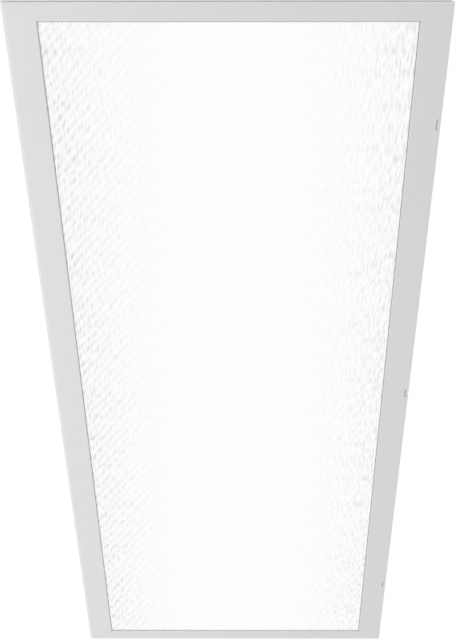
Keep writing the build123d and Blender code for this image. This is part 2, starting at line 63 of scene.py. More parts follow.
# %% Put the camera where the picture was taken
film_width = 36.0
focal_length = 158.2
stand_point = Vector((13.1, -2184.6, -1030.6)) * mm
tilt_up = radians(26.65)
turn_left = radians(0.45)
roll = radians(0.22)

camera_data = bpy.data.cameras.new("room_camera")
camera_data.sensor_width = film_width
camera_data.lens = focal_length
camera_data.clip_start = 0.05
camera_data.clip_end = 60
camera = bpy.data.objects.new("room_camera", camera_data)
bpy.context.scene.collection.objects.link(camera)
bpy.context.scene.camera = camera
bpy.context.scene.view_settings.view_transform = "Standard"
camera.matrix_world = (
    Matrix.Translation(stand_point)
    @ Matrix.Rotation(turn_left, 4, "Z")
    @ Matrix.Rotation(pi / 2 + tilt_up, 4, "X")
    @ Matrix.Rotation(roll, 4, "Z")
)
print("camera", [round(c, 3) for c in stand_point])

# %% [markdown]
# ## Shapes as arrays
#
# Every small part here is a solid of revolution or a profile carried along a line, so two short
# functions make them all. A shape is a pair: an array of points, and a list of face arrays. Rows
# of the same part are one mesh, made by adding an array of places to one array of points.


# %% A turned solid
def turned(profile, sides, start=0.0):
    """A turned solid. Profile point k has radius r and height z, and sweeps the circle
    (r cos a, r sin a, z). The profile runs from the low pole to the high one, and a pole is one
    point. With few sides the same formula gives a hexagonal or a square head."""
    profile = np.asarray(profile, float)
    angle = start + 2 * pi * np.arange(sides) / sides
    r, z = profile[1:-1, 0], profile[1:-1, 1]
    rings = np.stack([np.outer(r, np.cos(angle)), np.outer(r, np.sin(angle)),
                      np.repeat(z[:, None], sides, 1)], -1)
    poles = np.array([[0, 0, profile[0, 1]], [0, 0, profile[-1, 1]]])
    points = np.concatenate([rings.reshape(-1, 3), poles])
    j = np.arange(sides)
    after = (j + 1) % sides
    row = sides * np.arange(len(r) - 1)[:, None]
    walls = np.stack([row + j, row + after, row + sides + after, row + sides + j], -1)
    last = sides * (len(r) - 1)
    low = np.stack([np.full(sides, len(points) - 2), after, j], -1)
    high = np.stack([np.full(sides, len(points) - 1), last + j, last + after], -1)
    return points, [walls.reshape(-1, 4), np.concatenate([low, high])]


# %% A round wire carried along a line
def wire(path, radius, sides):
    """A round wire. At each point of the path a circle of the given radius stands square to the
    line, on two directions at right angles to it, and a small cap closes each end."""
    path = np.asarray(path, float)
    along = np.gradient(path, axis=0)
    along /= np.linalg.norm(along, axis=1, keepdims=True)
    spare = np.array([1.0, 0.0, 0.0])
    across = np.cross(along, spare)
    across /= np.linalg.norm(across, axis=1, keepdims=True)
    up = np.cross(across, along)
    angle = 2 * pi * np.arange(sides) / sides
    circle = (np.cos(angle)[None, :, None] * across[:, None]
              + np.sin(angle)[None, :, None] * up[:, None])
    rings = path[:, None] + radius * circle
    points = np.concatenate([rings.reshape(-1, 3), path[[0, -1]]])
    j = np.arange(sides)
    after = (j + 1) % sides
    row = sides * np.arange(len(path) - 1)[:, None]
    walls = np.stack([row + j, row + sides + j, row + sides + after, row + after], -1)
    last = sides * (len(path) - 1)
    first_cap = np.stack([np.full(sides, len(points) - 2), j, after], -1)
    last_cap = np.stack([np.full(sides, len(points) - 1), last + after, last + j], -1)
    return points, [walls.reshape(-1, 4), np.concatenate([first_cap, last_cap])]


# %% Copies and groups
def copies(shape, places, facing=(0, 0, 1)):
    """One shape at many places: its points are turned so that +Z faces the given way, and the
    whole array of places is added to them at once."""
    points, faces = shape
    turn = np.array(Vector((0, 0, 1)).rotation_difference(Vector(facing)).to_matrix())
    places = np.asarray(places, float).reshape(-1, 3)
    moved = (points @ turn.T)[None] + places[:, None]
    shift = len(points) * np.arange(len(places))[:, None, None]
    return moved.reshape(-1, 3), [(f[None] + shift).reshape(-1, f.shape[1]) for f in faces]


def together(*shapes):
    """Several shapes as one: the faces of each are renumbered past the points before it."""
    starts = np.cumsum([0] + [len(points) for points, _ in shapes])
    faces = [f + start for start, (_, fs) in zip(starts, shapes) for f in fs]
    return np.concatenate([points for points, _ in shapes]), faces


# %% [markdown]
# A face has a front and a back, and a solid needs every front on the outside. That could be seen
# by eye in an overlay, face by face. A number is surer: the volume that the faces enclose comes
# out positive only if they point outwards, so each piece is measured before it is made.


# %% The volume that a shape encloses
def solid_volume(shape):
    """Volume inside the faces: a sixth of the sum of a · (b × c) over all triangles. It is
    positive where the faces point outwards."""
    points, faces = shape
    fans = [f[:, [0, k, k + 1]] for f in faces for k in range(1, f.shape[1] - 1)]
    a, b, c = np.moveaxis(points[np.concatenate(fans)], 1, 0)
    return np.einsum("ij,ij->i", a, np.cross(b, c)).sum() / 6


unit_drum = turned([(0, 0), (1, 0), (1, 1), (0, 1)], 64)
print("a drum of radius 1 and height 1 holds", round(solid_volume(unit_drum), 3), "and pi is 3.142")


# %% From a shape to a piece of the light
def piece(name, shape, body, material, crease=35.0):
    """Makes a mesh object of a shape and lets it ride on a body of the light. Edges sharper than
    the crease stay sharp, and the rest is shaded smooth."""
    points, faces = shape
    assert solid_volume(shape) > 0, name
    mesh = bpy.data.meshes.new(name)
    mesh.from_pydata(points.tolist(), [], [f for group in faces for f in group.tolist()])
    mesh.update()
    mesh.shade_smooth()
    mesh.set_sharp_from_angle(angle=radians(crease))
    mesh.materials.append(material)
    made = bpy.data.objects.new(name, mesh)
    bpy.context.scene.collection.objects.link(made)
    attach(made, body)
    print(f"{name}: {len(mesh.polygons)} faces")
    return made


# %% [markdown]
# ## Finishes
#
# A finish is a small graph of nodes. All of them read Object coordinates, so that a pattern stays
# where it is on the part when the door swings. A few helpers keep each recipe short: they make a
# node, set its values and hand back its output.


# %% Helpers for node graphs
def recipe(name, base, roughness, metallic=0.0):
    """A new material with its main shader set to plain starting values."""
    material = bpy.data.materials.new(name)
    material.use_nodes = True
    shader = material.node_tree.nodes["Principled BSDF"]
    shader.inputs["Base Color"].default_value = (*base, 1)
    shader.inputs["Roughness"].default_value = roughness
    shader.inputs["Metallic"].default_value = metallic
    return material, material.node_tree, shader


def node(tree, kind, output, links=None, **values):
    """Adds a node, links sockets by name or number, sets properties, and returns one output."""
    made = tree.nodes.new(kind)
    for key, value in values.items():
        setattr(made, key, value)
    for key, source in (links or {}).items():
        if isinstance(source, bpy.types.NodeSocket):
            tree.links.new(source, made.inputs[key])
        else:
            made.inputs[key].default_value = source
    return made.outputs[output]


def place_on_part(tree, stretch=(1, 1, 1)):
    """Object coordinates, stretched along each axis."""
    spot = node(tree, "ShaderNodeTexCoord", "Object")
    return node(tree, "ShaderNodeMapping", "Vector", {"Vector": spot, "Scale": stretch})


def cloud(tree, spot, scale, detail=3.0):
    """Soft noise from 0 to 1. Its grains are about one over scale across, in metres."""
    return node(tree, "ShaderNodeTexNoise", "Fac", {
        "Vector": spot, "Scale": scale, "Detail": detail})


def between(tree, value, low, high, start=0.0, end=1.0):
    """Maps value from low..high to start..end, and holds it at the ends."""
    return node(tree, "ShaderNodeMapRange", "Result", {
        "Value": value, "From Min": low, "From Max": high, "To Min": start, "To Max": end})


def soft_step(tree, value, low, high, start=0.0, end=1.0):
    """The same with a smooth start and end."""
    return node(tree, "ShaderNodeMapRange", "Result", {
        "Value": value, "From Min": low, "From Max": high, "To Min": start, "To Max": end},
        interpolation_type="SMOOTHSTEP")


def sums(tree, operation, a, b=0.5):
    """One arithmetic step on two values."""
    return node(tree, "ShaderNodeMath", "Value", {0: a, 1: b}, operation=operation)


def product(tree, first, *others):
    """Several values multiplied together."""
    for other in others:
        first = sums(tree, "MULTIPLY", first, other)
    return first


def blend(tree, share, dark, light):
    """A colour between two colours."""
    return node(tree, "ShaderNodeMix", "Result", {
        "Factor": share, "A": dark, "B": light}, data_type="RGBA")


def dents(tree, shader, height, depth, strength=1.0):
    """Turns a height map into bumps of the given depth."""
    bumps = node(tree, "ShaderNodeBump", "Normal", {
        "Height": height, "Distance": depth, "Strength": strength})
    tree.links.new(bumps, shader.inputs["Normal"])


# %% [markdown]
# ### Enamel
#
# The frame and the housing are sheet steel with a baked coat. Close up, such a coat isn't flat:
# it has the fine ripple called orange peel, and its gloss is a little uneven. A clear image of
# that is noise about a millimetre across as bumps a hundredth of a millimetre deep, and larger
# noise on the roughness and on the tone.


# %% Enamel on the door and on the housing
def enamel(name, tone, roughness, peel_depth):
    """Baked enamel of one tone with orange peel and a slightly uneven gloss."""
    material, tree, shader = recipe(name, tone, roughness)
    spot = place_on_part(tree)
    uneven = cloud(tree, spot, 9.0, 2.0)
    darker = tuple(0.985 * c for c in tone)
    tree.links.new(blend(tree, uneven, (*darker, 1), (*tone, 1)), shader.inputs["Base Color"])
    gloss = between(tree, cloud(tree, spot, 60.0), 0.3, 0.7, roughness - 0.05, roughness + 0.05)
    tree.links.new(gloss, shader.inputs["Roughness"])
    dents(tree, shader, cloud(tree, spot, 700.0, 1.0), peel_depth)
    shader.inputs["Specular IOR Level"].default_value = 0.4
    return material


door_tone = (0.690, 0.669, 0.690)
housing_tone = (0.745, 0.745, 0.730)
door_enamel = enamel("door_enamel", door_tone, 0.42, 0.012 * mm)
housing_enamel = enamel("housing_enamel", housing_tone, 0.38, 0.015 * mm)
print("enamel mixed for door and housing")

# %% [markdown]
# ### Bare metal
#
# Latches and hanger bars are zinc plated: a pale grey with a faint crystalline cloud and
# rolling marks along the sheet. Springs, pins and screws are brighter and finer.


# %% Zinc plate and bright steel
def plated(name, tone, roughness, grain, cell_share):
    """Metal with rolling marks along Y and a crystalline cloud of tone."""
    material, tree, shader = recipe(name, tone, roughness, 1.0)
    marks = cloud(tree, place_on_part(tree, (1, 0.04, 1)), grain, 4.0)
    crystals = node(tree, "ShaderNodeTexVoronoi", "Color", {
        "Vector": place_on_part(tree), "Scale": 220.0})
    grey = node(tree, "ShaderNodeSeparateColor", "Red", {"Color": crystals})
    share = sums(tree, "ADD", product(tree, grey, cell_share), product(tree, marks, 1 - cell_share))
    darker = tuple(0.86 * c for c in tone)
    tree.links.new(blend(tree, share, (*darker, 1), (*tone, 1)), shader.inputs["Base Color"])
    gloss = between(tree, share, 0.2, 0.8, roughness - 0.08, roughness + 0.08)
    tree.links.new(gloss, shader.inputs["Roughness"])
    dents(tree, shader, marks, 0.01 * mm, 0.6)
    return material


zinc_plate = plated("zinc_plate", (0.56, 0.57, 0.58), 0.42, 900.0, 0.5)
bright_steel = plated("bright_steel", (0.60, 0.60, 0.61), 0.28, 2400.0, 0.1)
print("metals ready")

# %% [markdown]
# ### Small parts
#
# Connectors, the terminal block and the covering of the wires are moulded. A mould leaves a fine
# eroded grain that breaks up the gloss, and the tone of nylon drifts a little through a part.
# That is the enamel's recipe again with other sizes, so only the numbers change. The driver's
# case and the earthing screw are painted metal and take the enamel as it is.


# %% Plastics, wire covering and paint on small parts
def moulded(name, tone, roughness, grain_depth=0.01 * mm):
    """Moulded plastic: an even tone, a fine eroded grain and a slightly uneven gloss."""
    material, tree, shader = recipe(name, tone, roughness)
    spot = place_on_part(tree)
    gloss = between(tree, cloud(tree, spot, 300.0), 0.3, 0.7, roughness - 0.06, roughness + 0.06)
    tree.links.new(gloss, shader.inputs["Roughness"])
    darker = tuple(0.95 * c for c in tone)
    tree.links.new(blend(tree, cloud(tree, spot, 80.0), (*darker, 1), (*tone, 1)),
                   shader.inputs["Base Color"])
    dents(tree, shader, cloud(tree, spot, 2500.0, 1.0), grain_depth)
    return material


connector_nylon = moulded("connector_nylon", (0.78, 0.76, 0.69), 0.45)
terminal_nylon = moulded("terminal_nylon", (0.64, 0.64, 0.60), 0.50)
wire_covering = moulded("wire_covering", (0.60, 0.60, 0.60), 0.35, 0.004 * mm)
driver_paint = enamel("driver_paint", (0.62, 0.63, 0.64), 0.35, 0.01 * mm)
earth_green = enamel("earth_green", (0.03, 0.20, 0.07), 0.30, 0.005 * mm)
print("small finishes ready")

# %% [markdown]
# ### The LED boards
#
# The boards are aluminium with a white lacquer. Copper tracks under the lacquer show as long
# faint ridges, one on each side of the row of packages, and cross links tie them at each package.
# A track is a step in a coordinate, so it needs no drawing: the distance from the board's middle
# line and the distance along it, taken round by the pitch of the packages, place every edge.

# %% White lacquer over copper tracks
led_pitch = 25 * mm
board_low, board_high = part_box("led_board_right_far")
board_middle = (board_low.x + board_high.x) / 2
track_offset = 9 * mm
track_width = 5 * mm
track_edge = 0.4 * mm  # how far the lacquer slopes beside a track
half_gap = 0.5 * mm  # half of the cut between two packages
board_white = (0.80, 0.80, 0.78)
over_copper = (0.735, 0.730, 0.700)


def board_lacquer():
    """White lacquer with tracks: a ridge where the distance from the middle line is within half
    a track of the track's own line, cut by a thin gap halfway between two packages."""
    material, tree, shader = recipe("board_lacquer", board_white, 0.40)
    spot = node(tree, "ShaderNodeTexCoord", "Object")
    x = node(tree, "ShaderNodeSeparateXYZ", "X", {"Vector": spot})
    y = x.node.outputs["Y"]
    off_middle = sums(tree, "SUBTRACT", sums(tree, "ABSOLUTE", x), board_middle)
    across = sums(tree, "ABSOLUTE", off_middle)
    off_line = sums(tree, "ABSOLUTE", sums(tree, "SUBTRACT", across, track_offset))
    in_track = soft_step(tree, off_line, track_width / 2, track_width / 2 + track_edge, 1.0, 0.0)
    round_pitch = sums(tree, "PINGPONG", y, led_pitch / 2)
    outside_gap = soft_step(tree, round_pitch, half_gap, half_gap + track_edge)
    track = product(tree, in_track, outside_gap)
    lacquer = blend(tree, track, (*board_white, 1), (*over_copper, 1))
    tree.links.new(lacquer, shader.inputs["Base Color"])
    relief = sums(tree, "ADD", track, product(tree, cloud(tree, spot, 500.0), 0.2))
    dents(tree, shader, relief, 0.05 * mm)
    return material


lacquer = board_lacquer()
print("board middle line at", round(board_middle / mm, 1), "mm")

# %% [markdown]
# ### The glow of the panel
#
# Light from the boards is mixed in the housing before it meets the panel, so the glow is even
# and near white in the middle. Towards the long sides the light comes in at a slant and the
# facets stop sharing it evenly: from far off they show as short slanting dashes, a little darker
# than the rest. A picture of facets could do this, but it would be tied to one size. Here the
# dashes are noise squeezed along one slanting line and stretched along the panel, helped by a
# number on each facet of the mesh that says how far it faces away. On the left they gather in
# slanting rows, which fan out towards the far end. Where the panel meets the steel ledge that it
# rests on, the glow ends in a thin dark line of painted shade. This is the ledge's shadow painted
# into the glow, and it is widest at the near end.

# %% Rows of dashes, and the dashes
panel_low, panel_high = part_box("lens")
row_pitch = 7.6 * mm  # from one row of dashes to the next, at the middle of the light
row_origin = 280.0  # where the rows would meet, in pitches from the middle line
row_fan = 0.2  # how much wider the rows stand with each metre towards the far end
row_bend = 5.0  # how far noise bends the rows, in radians
dash_width = 1.4 * mm
dash_length = 15 * mm
dash_slant = 0.04 / mm


def slanting_rows(tree, spot, x, y):
    """The sine, brought to 0..1, of (x / pitch - origin) / (1 + fan y) full turns plus a bend
    from noise."""
    bend = product(tree, cloud(tree, spot, 30.0, 1.0), row_bend)
    fan = sums(tree, "ADD", 1.0, product(tree, y, row_fan))
    pitches = sums(tree, "SUBTRACT", sums(tree, "DIVIDE", x, row_pitch), row_origin)
    row_number = sums(tree, "DIVIDE", pitches, fan)
    phase = sums(tree, "ADD", product(tree, row_number, 2 * pi), bend)
    return between(tree, sums(tree, "SINE", phase), -1, 1)


def slanting_dashes(tree, x, y):
    """Noise read at (x / width + slant y, y / length), so that its grains are long, thin and
    aslant. Only its upper part counts, which leaves single dashes."""
    aslant = sums(tree, "ADD", sums(tree, "DIVIDE", x, dash_width), product(tree, y, dash_slant))
    along = sums(tree, "DIVIDE", y, dash_length)
    place = node(tree, "ShaderNodeCombineXYZ", "Vector", {"X": aslant, "Y": along})
    return between(tree, cloud(tree, place, 1.0, 0.0), 0.46, 0.70)


print("rows", round(row_pitch / mm, 1), "mm apart, dashes", round(dash_length / mm), "mm long")

# %% The ledge's shadow, painted as a dark line on the glow
ledge_x = 129 * mm  # inner edge of the door's ledge
ledge_y = 586 * mm
# The widths below belong to the ledge's shadow, which is painted into the glow of the panel as a
# dark line.
side_shadow_width = 0.9 * mm  # how far the dark line reaches in from the ledge, at the long sides,
near_shadow_width = 3.6 * mm  # at the near end, where the ledge's shadow is seen at a slant,
far_shadow_width = 0.6 * mm  # and at the far end


def painted_ledge_shadow(tree, off_middle, y):
    """Painted shade of the ledge on the glow: one over the panel, and less close to the ledge. It
    is the product of a soft step at the long sides, one at the near end and one at the far end."""
    shade_at_side = soft_step(tree, off_middle, ledge_x - side_shadow_width, ledge_x - 0.3 * mm, 1.0, 0.35)
    shade_at_near = soft_step(tree, y, near_shadow_width - 0.7 * mm - ledge_y, near_shadow_width - ledge_y, 0.35, 1.0)
    shade_at_far = soft_step(tree, y, ledge_y - far_shadow_width, ledge_y - 0.2 * mm, 1.0, 0.5)
    return product(tree, shade_at_near, shade_at_far, shade_at_side)


print("dark line from", round(far_shadow_width / mm, 1), "to", round(near_shadow_width / mm, 1), "mm wide")

# %% The lit acrylic of the panel
sides_apart = 90 * mm  # from this far left to this far right, one look turns into the other
right_gather = 0.2  # how strongly the dashes gather in rows on the right, against one on the left
gather = 0.6  # what the rows take from the dashes
facet_share = 0.3  # the part of the facets, against one for the dashes
left_depth, right_depth = 0.23, 0.195  # what a full dash takes from the glow at each side
growth = 2.9  # power with which the dashes grow outwards
streak_depth = 0.05
panel_tint = (1.0, 0.976, 1.0)


def lit_acrylic():
    """Acrylic whose glow is one, less pale streaks, less the dashes, times the ledge's shadow,
    which is painted as a dark line. The dashes grow with a power of the distance from the middle
    line, are fewer where the rows' value is high, and vary in larger patches. The same rows leave
    the streaks on the left."""
    material, tree, shader = recipe("lit_acrylic", (0.03, 0.03, 0.03), 0.40)
    spot = node(tree, "ShaderNodeTexCoord", "Object")
    x = node(tree, "ShaderNodeSeparateXYZ", "X", {"Vector": spot})
    y = x.node.outputs["Y"]
    off_middle = sums(tree, "ABSOLUTE", x)
    outwards = sums(tree, "DIVIDE", off_middle, ledge_x)
    on_left = soft_step(tree, x, -sides_apart, sides_apart, 1.0, right_gather)
    rows = slanting_rows(tree, spot, x, y)

    facing = node(tree, "ShaderNodeAttribute", "Fac", attribute_name="facing_away")
    turned_off = sums(tree, "ADD", product(tree, facing, facet_share), slanting_dashes(tree, x, y))
    kept = sums(tree, "SUBTRACT", 1.0, product(tree, rows, gather, on_left))
    depth = soft_step(tree, x, -sides_apart, sides_apart, left_depth, right_depth)
    uneven = cloud(tree, place_on_part(tree, (0.5, 1, 1)), 22.0)
    patches = between(tree, uneven, 0.35, 0.65, 0.75, 1.25)
    strength = product(tree, sums(tree, "POWER", outwards, growth), patches)
    loss = product(tree, turned_off, kept, depth, strength)

    streaks = product(tree, on_left, streak_depth, sums(tree, "SUBTRACT", 1.0, rows),
                      sums(tree, "POWER", outwards, 2.0))
    even = between(tree, y, -ledge_y, ledge_y, 1.0, 0.98)
    glow = sums(tree, "SUBTRACT", sums(tree, "SUBTRACT", even, streaks), loss)
    # The glow times painted shade: darker close to the ledge, where the ledge's shadow is painted
    # in.
    glow = product(tree, glow, painted_ledge_shadow(tree, off_middle, y))
    tint = blend(tree, glow, (0, 0, 0, 1), (*panel_tint, 1))
    tree.links.new(tint, shader.inputs["Emission Color"])
    shader.inputs["Emission Strength"].default_value = 0.94
    shader.inputs["Specular IOR Level"].default_value = 0.05
    return material


acrylic = lit_acrylic()
print("panel from", [round(c / mm, 1) for c in panel_low],
      "to", [round(c / mm, 1) for c in panel_high])

# %% [markdown]
# ## The prismatic panel
#
# The underside of the panel is covered with small four-sided pyramids on diamond-shaped feet,
# set like bricks. On a grid whose steps are half a diamond, every second crossing is a tip and
# the others are corners, as on a chessboard. So the whole underside is one height field: the
# height depends only on whether column plus row is odd. Each grid cell is cut along the line
# from corner to corner, which is the valley between two pyramids. The tips rest on the ledge of
# the door, and four sides and a flat top close the solid.

# %% Model the panel
diamond_width = 2.4 * mm
diamond_length = 12.0 * mm
pyramid_height = 0.8 * mm


def lines(edge, step):
    """Grid lines along one axis, from edge to edge in an even number of steps, so that the
    pattern is symmetrical."""
    return np.linspace(-edge, edge, 2 * round(edge / step) + 1)


def prismatic_panel():
    """Points (x_i, y_j, z), where z is the tip's height if i + j is odd and off the outline, and
    the foot's height elsewhere."""
    foot = panel_low.z + pyramid_height
    xs = lines(panel_high.x, diamond_width / 2)
    ys = lines(panel_high.y, diamond_length / 2)
    i, j = np.meshgrid(np.arange(len(xs)), np.arange(len(ys)), indexing="ij")
    inside = (i > 0) & (i < len(xs) - 1) & (j > 0) & (j < len(ys) - 1)
    tip = ((i + j) % 2 == 1) & inside
    grid = np.stack([xs[i], ys[j], np.where(tip, panel_low.z, foot)], -1)
    index = np.arange(grid[..., 0].size).reshape(i.shape)
    a, b = index[:-1, :-1].ravel(), index[1:, :-1].ravel()
    c, d = index[1:, 1:].ravel(), index[:-1, 1:].ravel()
    corner_first = ((i + j) % 2 == 0)[:-1, :-1].ravel()[:, None]
    one = np.where(corner_first, np.stack([a, c, b], -1), np.stack([a, d, b], -1))
    two = np.where(corner_first, np.stack([a, d, c], -1), np.stack([b, d, c], -1))
    facets = np.concatenate([one, two])
    rim = np.concatenate([index[:-1, 0], index[-1, :-1], index[:0:-1, -1], index[0, :0:-1]])
    points = grid.reshape(-1, 3)
    upper = points[rim] * (1, 1, 0) + (0, 0, panel_high.z)
    above = len(points) + np.arange(len(rim))
    walls = np.stack([rim, np.roll(rim, -1), np.roll(above, -1), above], -1)
    return np.concatenate([points, upper]), [facets, walls, above[None]]


def facing_away(shape):
    """How far each facet of the underside turns from the middle of the panel: one if it leans
    outwards from its tip, a little less on the near side of the tip, and none if it leans in.
    No two pyramids are cut quite alike, so each has its own factor from a fixed draw."""
    points, faces = shape
    corners = points[faces[0]]
    tips = faces[0][np.arange(len(corners)), corners[..., 2].argmin(1)]
    lean = corners.mean(1) - points[tips]
    outwards = lean[:, 0] * points[tips, 0] > 0
    cut = np.random.default_rng(5).uniform(0.0, 1.0, len(points))[tips]
    share = cut * np.where(outwards, np.where(lean[:, 1] > 0, 1.0, 0.7), 0.0)
    return np.concatenate([share, np.zeros(sum(len(f) for f in faces[1:]))])


panel_shape = prismatic_panel()
panel = piece("prismatic_panel", panel_shape, "door", acrylic, crease=0.1)
facet_number = panel.data.attributes.new("facing_away", "FLOAT", "FACE")
facet_number.data.foreach_set("value", facing_away(panel_shape).astype(np.float32))
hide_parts("lens")

# %% [markdown]
# ## Finishes on the solid pieces
#
# The solid model already has the right shapes, so most of its pieces only need their finish. A
# table from the start of a name to a finish covers them all, and the check below makes sure that
# no piece is left with a plain colour.

# %% Dress the solid pieces
finishes = {
    "door_rail": door_enamel,
    "corner_bracket": housing_enamel,
    "ceiling_rim": housing_enamel,
    "housing_shell": housing_enamel,
    "end_plate": housing_enamel,
    "access_plate": zinc_plate,
    "wireway_cover": housing_enamel,
    "lens_clips": bright_steel,
    "hinge_leaf": door_enamel,
    "hinge_pin": bright_steel,
    "latch_": zinc_plate,
    "hanger_bar": zinc_plate,
    "bar_guide": zinc_plate,
    "bar_lock_screws": bright_steel,
    "led_board": lacquer,
    "led_driver": driver_paint,
    "terminal_block": terminal_nylon,
    "board_connectors": connector_nylon,
    "board_leads": wire_covering,
    "driver_leads": wire_covering,
    "ground_screw": earth_green,
}
for name, part in nodes.items():
    found = [finish for start, finish in finishes.items() if name.startswith(start)]
    if found:
        part.data.materials.clear()
        part.data.materials.append(found[0])
    elif name not in ("lens", "led_emitters"):
        raise ValueError(f"{name} has no finish")
print("dressed", len(nodes), "pieces")

# %% [markdown]
# ## The LED packages
#
# Each package is a square white cup filled with yellow phosphor, and it sits on the board with
# its open side down. A turned solid with four sides is a square one, so the cup and its filling
# are two short profiles. Lit, the phosphor is nearly white.

# %% Model the packages
emitter_low, emitter_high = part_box("led_emitters")
package_height = emitter_high.z - emitter_low.z
half_diagonal = 1.5 * mm * 2**0.5
fill_share = 0.78  # width of the filling against the cup's
fill_depth = 0.12 * mm
per_board = int(round((board_high.y - board_low.y) / led_pitch - 0.5))
board_centre = (board_low.y + board_high.y) / 2
steps = (np.arange(per_board) - (per_board - 1) / 2) * led_pitch
package_places = [
    (side * board_middle, end * board_centre + step, emitter_high.z)
    for side in (-1, 1) for end in (-1, 1) for step in steps
]
cup_profile = [(0, 0), (half_diagonal, 0), (half_diagonal, package_height),
               (fill_share * half_diagonal, package_height),
               (fill_share * half_diagonal, package_height - 2 * fill_depth),
               (0, package_height - 2 * fill_depth)]
fill_profile = [(0, package_height - 3 * fill_depth),
                (0.99 * fill_share * half_diagonal, package_height - 3 * fill_depth),
                (0.99 * fill_share * half_diagonal, package_height - fill_depth),
                (0, package_height - 0.6 * fill_depth)]


def lit_phosphor():
    """Phosphor under silicone: warm where it is thin, near white where it is lit."""
    material, tree, shader = recipe("lit_phosphor", (0.80, 0.66, 0.30), 0.30)
    warm, near_white = (1.0, 0.90, 0.62, 1), (1.0, 0.97, 0.84, 1)
    tone = blend(tree, cloud(tree, place_on_part(tree), 2500.0), warm, near_white)
    tree.links.new(tone, shader.inputs["Emission Color"])
    shader.inputs["Emission Strength"].default_value = 0.9
    return material


package_white = moulded("package_white", (0.84, 0.84, 0.80), 0.35)
cups = piece("led_cups", copies(turned(cup_profile, 4, pi / 4), package_places, (0, 0, -1)),
             "housing", package_white)
piece("led_fills", copies(turned(fill_profile, 4, pi / 4), package_places, (0, 0, -1)),
      "housing", lit_phosphor())
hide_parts("led_emitters")
print(len(package_places), "packages,", per_board, "on each board")

# %% [markdown]
# ## The latch springs
#
# The solid model draws each spring as stacked rings. Here the wire is a true helix: the angle
# grows evenly with the distance along the axis, apart from a flat turn at each end.

# %% Wind the springs
turns = 6
wire_radius = 0.33 * mm


def spring_path(node_name):
    """Points (x, y + R cos a, z + R sin a), where a grows to the number of turns and x runs from
    end to end of the solid spring, less the thickness of the wire."""
    low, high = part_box(node_name)
    share = np.linspace(0, 1, turns * 24 + 1)
    flat = 0.5 / turns
    climb = np.clip((share - flat) / (1 - 2 * flat), 0, 1)
    reach = (high.y - low.y) / 2 - wire_radius
    x = low.x + wire_radius + climb * (high.x - low.x - 2 * wire_radius)
    angle = 2 * pi * turns * share
    y = (low.y + high.y) / 2 + reach * np.cos(angle)
    z = (low.z + high.z) / 2 + reach * np.sin(angle)
    return np.stack([x, y, z], -1)


for end_name in ("near", "far"):
    old = f"latch_spring_{end_name}"
    coil = piece(f"latch_coil_{end_name}", wire(spring_path(old), wire_radius, 10), "door",
                 bright_steel, crease=60)
    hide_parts(old)

# %% [markdown]
# ## Rivets, screws and weld marks
#
# Sheet metal parts don't float: the end plates are riveted to the shell, the guides to the end
# plates and the latch cases to the door, the cover and the boards are screwed up, and the rim is
# spot welded to the shell. Each head is a turned profile, and each row of them is one mesh.

# %% Head profiles
def dome_head(radius, height, sides=16):
    """The domed head of a blind rivet, with a dimple where its mandrel broke off."""
    return turned([(0, -0.2 * height), (radius, -0.2 * height), (radius, 0.25 * height),
                   (0.72 * radius, 0.8 * height), (0.42 * radius, height),
                   (0.34 * radius, 0.62 * height), (0, 0.62 * height)], sides)


def hex_head(radius, height):
    """A sheet metal screw: a round washer face and a hexagonal head with a soft edge."""
    washer = turned([(0, -0.1 * height), (1.5 * radius, -0.1 * height),
                     (1.5 * radius, 0.12 * height), (1.25 * radius, 0.26 * height),
                     (0, 0.26 * height)], 24)
    head = turned([(0, 0.2 * height), (radius, 0.2 * height), (radius, 0.86 * height),
                   (0.88 * radius, height), (0.5 * radius, height), (0.4 * radius, 0.8 * height),
                   (0, 0.8 * height)], 6)
    return together(washer, head)


def weld_mark():
    """The print of a spot welder's tip: a shallow dish with a low collar round it."""
    return turned([(0, -0.05 * mm), (3.0 * mm, -0.05 * mm), (2.6 * mm, 0.09 * mm),
                   (2.1 * mm, 0.11 * mm), (1.7 * mm, 0.03 * mm), (0, 0.02 * mm)], 20)


rivet = dome_head(2.4 * mm, 1.1 * mm)
small_screw = hex_head(1.7 * mm, 1.5 * mm)
for head_name, head in (("rivet", rivet), ("screw", small_screw)):
    head_volume = round(solid_volume(head) / mm**3, 1)
    print(head_name, "head of", len(head[0]), "points and", head_volume, "mm³")

# %% [markdown]
# Where a head sits comes from the boxes of the parts that it joins. The heads on the outside
# stay well inside the box of the whole light, and the ones inside stay clear of the openings.

# %% Rivets at the ends of the shell
_, shell_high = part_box("housing_shell")
plate_low, plate_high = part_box("end_plate_far")
flange_middle = (plate_low.y + plate_high.y) / 2
wall_x = shell_high.x
top_z = 85 * mm  # the flat top, without its beads
top_rivets = [(x, end * flange_middle, top_z) for end in (-1, 1)
              for x in (-84 * mm, -30 * mm, 30 * mm, 84 * mm)]
side_rivets = [(end * flange_middle, z) for end in (-1, 1) for z in (24 * mm, 42 * mm)]
shell_rivets = together(
    copies(rivet, top_rivets),
    copies(rivet, [(wall_x, y, z) for y, z in side_rivets], (1, 0, 0)),
    copies(rivet, [(-wall_x, y, z) for y, z in side_rivets], (-1, 0, 0)),
)
piece("shell_rivets", shell_rivets, "housing", bright_steel)

# %% [markdown]
# The leg of the rim is spot welded to the shell. A weld could be a painted ring, but it catches
# light along its collar when the camera comes near, so the print of the tip is a turned dish.
# They stand 80 mm apart along the sides, which is usual for sheet this thin.

